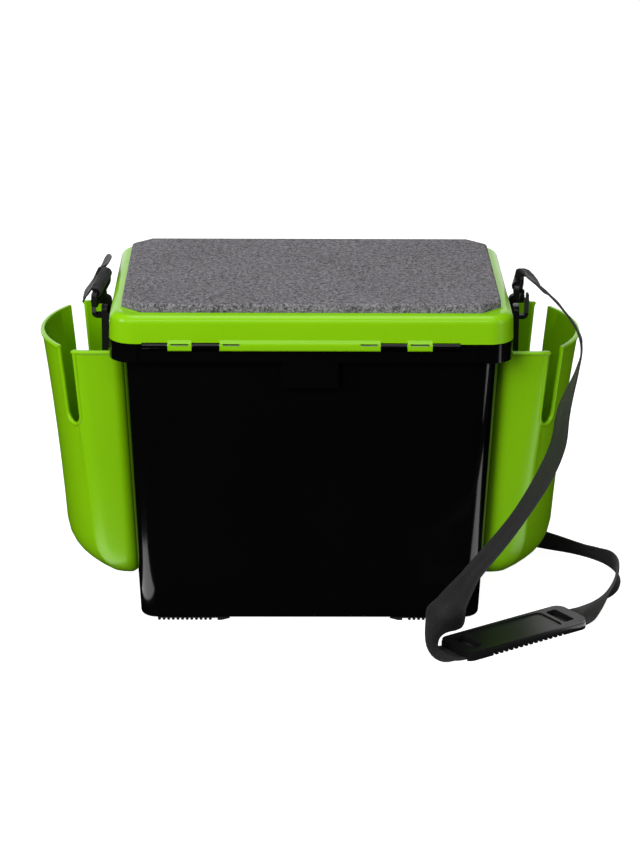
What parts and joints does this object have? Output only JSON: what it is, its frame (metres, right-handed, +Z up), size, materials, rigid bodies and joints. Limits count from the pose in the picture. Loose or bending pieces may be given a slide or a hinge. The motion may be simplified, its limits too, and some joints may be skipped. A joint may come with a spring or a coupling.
{
  "type": "fishing seat box",
  "caption": "Deep plastic fishing seat box with a two-way hinged lid, foam seat, slotted side pockets and a shoulder strap with snap hooks.",
  "frame": {"origin": "on the floor, under the middle of the box without its strap", "axes": "+X along the seat toward the right-hand pocket, -Y the front, +Z up"},
  "size_m": [0.5776, 0.3976, 0.3274],
  "materials": {
    "black_plastic": "gloss black moulded plastic",
    "green_plastic": "satin gloss lime green moulded plastic",
    "seat_foam": "speckled grey closed-cell foam",
    "foot_rubber": "matt black rubber",
    "rod_steel": "plain steel wire",
    "fitting_plastic": "gloss black moulded fittings",
    "webbing": "ribbed black webbing"
  },
  "bodies": {
    "box": {"box_body": "black_plastic", "foot_front_left": "foot_rubber", "foot_front_right": "foot_rubber", "foot_rear_left": "foot_rubber", "foot_rear_right": "foot_rubber", "strap_ear_left": "fitting_plastic", "strap_ear_right": "fitting_plastic", "ear_screw_left_front": "rod_steel", "ear_screw_left_rear": "rod_steel", "ear_screw_right_front": "rod_steel", "ear_screw_right_rear": "rod_steel", "snap_hook_left": "fitting_plastic", "snap_hook_right": "fitting_plastic", "hook_swivel_left": "fitting_plastic", "hook_swivel_right": "fitting_plastic", "strap_webbing": "webbing", "shoulder_pad": "fitting_plastic"},
    "front_rods": {"hinge_rod_front_left": "rod_steel", "hinge_rod_front_right": "rod_steel"},
    "lid": {"lid_shell": "green_plastic", "seat_pad": "seat_foam", "hinge_rod_rear_left": "rod_steel", "hinge_rod_rear_right": "rod_steel"},
    "pocket_left": {"pocket_left": "green_plastic"},
    "pocket_right": {"pocket_right": "green_plastic"},
    "gate_left": {"hook_gate_left": "fitting_plastic"},
    "gate_right": {"hook_gate_right": "fitting_plastic"}
  },
  "joints": [
    {"name": "lid_opens_to_rear", "type": "hinge", "parent": "box", "child": "front_rods", "pos_m": [0, 0.1292, 0.2875], "axis": [-1, 0, 0], "range_deg": [0, 105]},
    {"name": "lid_opens_to_front", "type": "hinge", "parent": "front_rods", "child": "lid", "pos_m": [0, -0.1292, 0.2875], "axis": [-1, 0, 0], "range_deg": [-105, 0]},
    {"name": "left_pocket_pulls_off", "type": "slide", "parent": "box", "child": "pocket_left", "axis": [-1, 0, 0], "range_m": [0, 0.08]},
    {"name": "right_pocket_pulls_off", "type": "slide", "parent": "box", "child": "pocket_right", "axis": [1, 0, 0], "range_m": [0, 0.08]},
    {"name": "left_gate_opens", "type": "hinge", "parent": "box", "child": "gate_left", "pos_m": [-0.211, -0.00507, 0.29473], "axis": [0, -0.9511, -0.309], "range_deg": [0, 15], "stiffness_Nm_per_rad": 0.02},
    {"name": "right_gate_opens", "type": "hinge", "parent": "box", "child": "gate_right", "pos_m": [0.211, -0.00114, 0.29486], "axis": [0, 0.9976, 0.0698], "range_deg": [0, 15], "stiffness_Nm_per_rad": 0.02}
  ]
}
